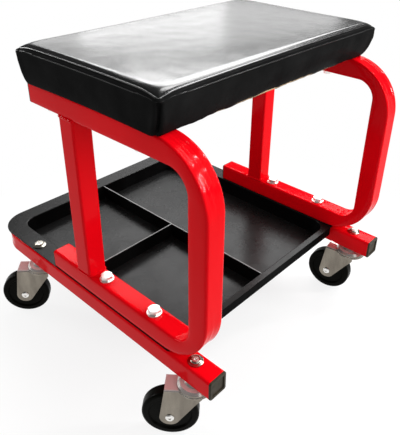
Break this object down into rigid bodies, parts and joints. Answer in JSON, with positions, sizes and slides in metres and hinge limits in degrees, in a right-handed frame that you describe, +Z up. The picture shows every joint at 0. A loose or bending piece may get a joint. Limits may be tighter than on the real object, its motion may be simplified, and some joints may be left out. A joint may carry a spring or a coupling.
{
  "type": "creeper seat",
  "caption": "Rolling mechanic's seat: padded top on two bent square-tube side frames, over a divided tool tray on a U-shaped base with swivel casters.",
  "frame": {"origin": "on the floor, midway between the four swivel axes of the casters", "axes": "+X to the right along the seat's long direction, +Y to the closed back of the base frame, +Z up"},
  "size_m": [0.4035, 0.4286, 0.4055],
  "materials": {
    "red_paint": "gloss",
    "black_paint": "satin",
    "black_plastic": "satin",
    "black_vinyl": "satin",
    "plywood": "matte",
    "zinc": "satin",
    "caster_zinc": "gloss",
    "wheel_plastic": "gloss"
  },
  "bodies": {
    "frame": {"base_frame": "red_paint", "base_plug_left": "black_plastic", "side_tube_left": "red_paint", "upright_left": "red_paint", "top_rail_plug_left": "black_plastic", "bottom_rail_plug_left": "black_plastic", "base_plug_right": "black_plastic", "side_tube_right": "red_paint", "upright_right": "red_paint", "top_rail_plug_right": "black_plastic", "bottom_rail_plug_right": "black_plastic", "tray": "black_paint", "tray_divider_long": "black_paint", "tray_divider_cross": "black_paint", "frame_bolts": "zinc", "frame_washers": "zinc", "frame_nuts": "zinc", "seat_board": "plywood", "seat_cushion": "black_vinyl", "seat_bolts": "zinc", "seat_washers": "zinc", "seat_tee_nuts": "zinc", "cover_staples": "zinc", "caster_nut_front_left": "zinc", "caster_stem_front_left": "zinc", "caster_raceway_front_left": "caster_zinc", "caster_nut_front_right": "zinc", "caster_stem_front_right": "zinc", "caster_raceway_front_right": "caster_zinc", "caster_nut_back_left": "zinc", "caster_stem_back_left": "zinc", "caster_raceway_back_left": "caster_zinc", "caster_nut_back_right": "zinc", "caster_stem_back_right": "zinc", "caster_raceway_back_right": "caster_zinc"},
    "front_left_fork": {"caster_fork_front_left": "caster_zinc", "caster_axle_front_left": "caster_zinc", "caster_bush_front_left": "zinc", "caster_balls_front_left": "zinc"},
    "front_left_wheel": {"caster_wheel_front_left": "wheel_plastic"},
    "front_right_fork": {"caster_fork_front_right": "caster_zinc", "caster_axle_front_right": "caster_zinc", "caster_bush_front_right": "zinc", "caster_balls_front_right": "zinc"},
    "front_right_wheel": {"caster_wheel_front_right": "wheel_plastic"},
    "back_left_fork": {"caster_fork_back_left": "caster_zinc", "caster_axle_back_left": "caster_zinc", "caster_bush_back_left": "zinc", "caster_balls_back_left": "zinc"},
    "back_left_wheel": {"caster_wheel_back_left": "wheel_plastic"},
    "back_right_fork": {"caster_fork_back_right": "caster_zinc", "caster_axle_back_right": "caster_zinc", "caster_bush_back_right": "zinc", "caster_balls_back_right": "zinc"},
    "back_right_wheel": {"caster_wheel_back_right": "wheel_plastic"}
  },
  "joints": [
    {"name": "front_left_swivel", "type": "hinge", "parent": "frame", "child": "front_left_fork", "pos_m": [-0.1675, -0.15, 0.075], "axis": [0, 0, 1], "continuous": true},
    {"name": "front_left_roll", "type": "hinge", "parent": "front_left_fork", "child": "front_left_wheel", "pos_m": [-0.18538, -0.12846, 0.0325], "axis": [-0.7694, -0.6388, 0], "continuous": true},
    {"name": "front_right_swivel", "type": "hinge", "parent": "frame", "child": "front_right_fork", "pos_m": [0.1675, -0.15, 0.075], "axis": [0, 0, 1], "continuous": true},
    {"name": "front_right_roll", "type": "hinge", "parent": "front_right_fork", "child": "front_right_wheel", "pos_m": [0.1636, -0.12227, 0.0325], "axis": [-0.9903, -0.1392, 0], "continuous": true},
    {"name": "back_left_swivel", "type": "hinge", "parent": "frame", "child": "back_left_fork", "pos_m": [-0.1675, 0.15, 0.075], "axis": [0, 0, 1], "continuous": true},
    {"name": "back_left_roll", "type": "hinge", "parent": "back_left_fork", "child": "back_left_wheel", "pos_m": [-0.18774, 0.16934, 0.0325], "axis": [-0.6909, -0.723, 0], "continuous": true},
    {"name": "back_right_swivel", "type": "hinge", "parent": "frame", "child": "back_right_fork", "pos_m": [0.1675, 0.15, 0.075], "axis": [0, 0, 1], "continuous": true},
    {"name": "back_right_roll", "type": "hinge", "parent": "back_right_fork", "child": "back_right_wheel", "pos_m": [0.15435, 0.17472, 0.0325], "axis": [-0.8829, -0.4695, 0], "continuous": true}
  ]
}
